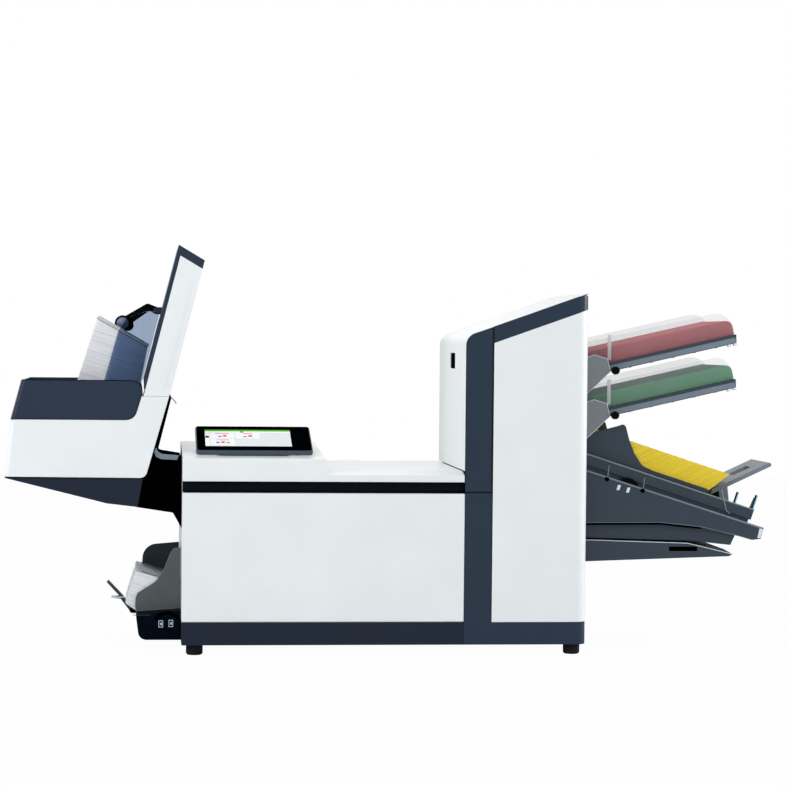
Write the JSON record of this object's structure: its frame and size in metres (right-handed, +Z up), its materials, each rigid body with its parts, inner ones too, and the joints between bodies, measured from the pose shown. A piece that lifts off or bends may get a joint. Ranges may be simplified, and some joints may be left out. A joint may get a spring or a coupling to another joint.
{
  "type": "envelope inserting machine",
  "caption": "White and navy envelope inserting machine with a sloped collating tower, paper stations, an insert feeder, an envelope hopper and a tall leaning stacker.",
  "frame": {"origin": "centre of the whole machine's plan, on the table under its feet", "axes": "+X to the machine's right as its user sees it, towards the paper stations; -Y towards the user; +Z up"},
  "size_m": [1.5152, 0.43, 0.7813],
  "materials": {
    "white_cover": "satin",
    "navy_trim": "satin",
    "black_plastic": "fine grain",
    "slate_plastic": "satin",
    "guide_plastic": "matte",
    "clear_plastic": "clear",
    "rubber": "matte",
    "steel": "brushed",
    "display_glass": "gloss",
    "white_paper": "uncoated",
    "red_paper": "uncoated",
    "green_paper": "uncoated",
    "yellow_paper": "uncoated"
  },
  "bodies": {
    "chassis": {"foot_front_left": "rubber", "foot_front_right": "rubber", "foot_rear_left": "rubber", "foot_rear_right": "rubber", "base_skirt": "navy_trim", "tower_frame": "navy_trim", "main_frame": "steel", "rear_cover": "white_cover", "grip_channel": "black_plastic", "tower_side_panel": "white_cover", "tower_top_trim": "navy_trim", "collator_strip": "navy_trim", "drive_motor": "steel", "mains_inlet": "black_plastic", "document_tray_1": "slate_plastic", "document_stack_1": "green_paper", "feed_bracket_1": "slate_plastic", "document_tray_2": "slate_plastic", "document_stack_2": "red_paper", "feed_bracket_2": "slate_plastic", "insert_housing": "slate_plastic", "insert_rail": "slate_plastic", "insert_stack": "yellow_paper", "lower_tray": "slate_plastic", "hopper_housing": "navy_trim", "hopper_envelopes": "white_paper", "stacker_shell": "white_cover", "stacker_rim": "navy_trim", "stacker_bracket": "black_plastic", "stacker_column": "white_cover", "column_trim": "navy_trim", "stacked_envelopes": "white_paper"},
    "door": {"front_door": "white_cover"},
    "lid": {"top_lid": "white_cover", "display_housing": "black_plastic", "display_glass": "display_glass"},
    "cover": {"collator_cover": "white_cover"},
    "latch": {"cover_latch": "black_plastic"},
    "lower_fold_roller": {"fold_roller_lower": "rubber"},
    "upper_fold_roller": {"fold_roller_upper": "rubber"},
    "switch": {"rocker_switch": "black_plastic"},
    "near_guide_1": {"guide_near_1": "clear_plastic"},
    "far_guide_1": {"guide_far_1": "clear_plastic"},
    "knob_1": {"guide_knob_1": "black_plastic"},
    "station_roller_1": {"feed_roller_1": "rubber"},
    "near_guide_2": {"guide_near_2": "clear_plastic"},
    "far_guide_2": {"guide_far_2": "clear_plastic"},
    "knob_2": {"guide_knob_2": "black_plastic"},
    "station_roller_2": {"feed_roller_2": "rubber"},
    "insert_near_guide": {"insert_guide_near": "slate_plastic"},
    "insert_far_guide": {"insert_guide_far": "slate_plastic"},
    "insert_wheel": {"insert_thumbwheel": "black_plastic"},
    "pusher": {"insert_pusher": "slate_plastic"},
    "hopper_near_guide": {"hopper_guide_near": "guide_plastic"},
    "hopper_far_guide": {"hopper_guide_far": "slate_plastic"},
    "hopper_wheel": {"hopper_thumbwheel": "black_plastic"},
    "envelope_lever": {"hopper_lever": "black_plastic"},
    "stacker_guide": {"stacker_side_guide": "clear_plastic"},
    "arm": {"press_arm": "black_plastic"},
    "arm_roller": {"press_roller": "rubber"}
  },
  "joints": [
    {"name": "door_hinge", "type": "hinge", "parent": "chassis", "child": "door", "pos_m": [-0.15, -0.212, 0.0665], "axis": [1, 0, 0], "range_deg": [0, 90]},
    {"name": "lid_hinge", "type": "hinge", "parent": "chassis", "child": "lid", "pos_m": [-0.15, 0.21, 0.345], "axis": [-1, 0, 0], "range_deg": [0, 30]},
    {"name": "cover_hinge", "type": "hinge", "parent": "chassis", "child": "cover", "pos_m": [0.12666, 0, 0.3565], "axis": [0, 1, 0], "range_deg": [-25, 0]},
    {"name": "latch_slide", "type": "slide", "parent": "cover", "child": "latch", "axis": [0, 0, -1], "range_m": [0, 0.008], "stiffness_N_per_m": 300, "springref_m": -0.006},
    {"name": "lower_fold_spin", "type": "hinge", "parent": "chassis", "child": "lower_fold_roller", "pos_m": [0.01066, 0, 0.2], "axis": [0, 1, 0], "continuous": true},
    {"name": "upper_fold_spin", "type": "hinge", "parent": "chassis", "child": "upper_fold_roller", "pos_m": [0.01066, 0, 0.2406], "axis": [0, 1, 0], "continuous": true},
    {"name": "switch_rock", "type": "hinge", "parent": "chassis", "child": "switch", "pos_m": [0.28266, 0.2076, 0.11], "axis": [1, 0, 0], "range_deg": [-6, 6]},
    {"name": "near_guide_slide_1", "type": "slide", "parent": "chassis", "child": "near_guide_1", "axis": [0, -1, 0], "range_m": [0, 0.012]},
    {"name": "far_guide_slide_1", "type": "slide", "parent": "chassis", "child": "far_guide_1", "axis": [0, 1, 0], "range_m": [0, 0.012]},
    {"name": "knob_turn_1", "type": "hinge", "parent": "chassis", "child": "knob_1", "pos_m": [0.42774, -0.1173, 0.45873], "axis": [0, 1, 0], "range_deg": [0, 91]},
    {"name": "station_roller_spin_1", "type": "hinge", "parent": "chassis", "child": "station_roller_1", "pos_m": [0.32386, 0, 0.49971], "axis": [0, 1, 0], "continuous": true},
    {"name": "near_guide_slide_2", "type": "slide", "parent": "chassis", "child": "near_guide_2", "axis": [0, -1, 0], "range_m": [0, 0.012]},
    {"name": "far_guide_slide_2", "type": "slide", "parent": "chassis", "child": "far_guide_2", "axis": [0, 1, 0], "range_m": [0, 0.012]},
    {"name": "knob_turn_2", "type": "hinge", "parent": "chassis", "child": "knob_2", "pos_m": [0.42774, -0.1173, 0.54673], "axis": [0, 1, 0], "range_deg": [0, 91]},
    {"name": "station_roller_spin_2", "type": "hinge", "parent": "chassis", "child": "station_roller_2", "pos_m": [0.32386, 0, 0.58771], "axis": [0, 1, 0], "continuous": true},
    {"name": "insert_near_slide", "type": "slide", "parent": "chassis", "child": "insert_near_guide", "axis": [0, -1, 0], "range_m": [0, 0.012]},
    {"name": "insert_far_slide", "type": "slide", "parent": "chassis", "child": "insert_far_guide", "axis": [0, 1, 0], "range_m": [0, 0.012]},
    {"name": "insert_wheel_turn", "type": "hinge", "parent": "chassis", "child": "insert_wheel", "pos_m": [0.45166, -0.125, 0.313], "axis": [0, 1, 0], "range_deg": [0, 29]},
    {"name": "pusher_slide", "type": "slide", "parent": "chassis", "child": "pusher", "axis": [0.9511, 0, -0.309], "range_m": [0, 0.038]},
    {"name": "hopper_near_slide", "type": "slide", "parent": "chassis", "child": "hopper_near_guide", "axis": [0, -1, 0], "range_m": [0, 0.012]},
    {"name": "hopper_far_slide", "type": "slide", "parent": "chassis", "child": "hopper_far_guide", "axis": [0, 1, 0], "range_m": [0, 0.012]},
    {"name": "hopper_wheel_turn", "type": "hinge", "parent": "chassis", "child": "hopper_wheel", "pos_m": [-0.44684, -0.136, 0.0515], "axis": [0, 1, 0], "range_deg": [0, 27]},
    {"name": "lever_turn", "type": "hinge", "parent": "chassis", "child": "envelope_lever", "pos_m": [-0.51334, 0.015, 0.063], "axis": [0, -1, 0], "range_deg": [0, 30]},
    {"name": "stacker_guide_slide", "type": "slide", "parent": "chassis", "child": "stacker_guide", "axis": [0, -1, 0], "range_m": [0, 0.012]},
    {"name": "press_arm_hinge", "type": "hinge", "parent": "chassis", "child": "arm", "pos_m": [-0.46934, 0.015, 0.656], "axis": [0, 1, 0], "range_deg": [0, 45]},
    {"name": "press_roller_spin", "type": "hinge", "parent": "arm", "child": "arm_roller", "pos_m": [-0.53614, 0.04, 0.6306], "axis": [0, 1, 0], "continuous": true}
  ],
  "couplings": [
    {"joint": "upper_fold_spin", "follows": "lower_fold_spin", "ratio": -1},
    {"joint": "far_guide_slide_1", "follows": "near_guide_slide_1", "ratio": 1},
    {"joint": "knob_turn_1", "follows": "near_guide_slide_1", "rad_per_m": 130.9},
    {"joint": "far_guide_slide_2", "follows": "near_guide_slide_2", "ratio": 1},
    {"joint": "knob_turn_2", "follows": "near_guide_slide_2", "rad_per_m": 130.9},
    {"joint": "insert_far_slide", "follows": "insert_near_slide", "ratio": 1},
    {"joint": "insert_wheel_turn", "follows": "insert_near_slide", "rad_per_m": 41.667},
    {"joint": "hopper_far_slide", "follows": "hopper_near_slide", "ratio": 1},
    {"joint": "hopper_wheel_turn", "follows": "hopper_near_slide", "rad_per_m": 38.462}
  ]
}
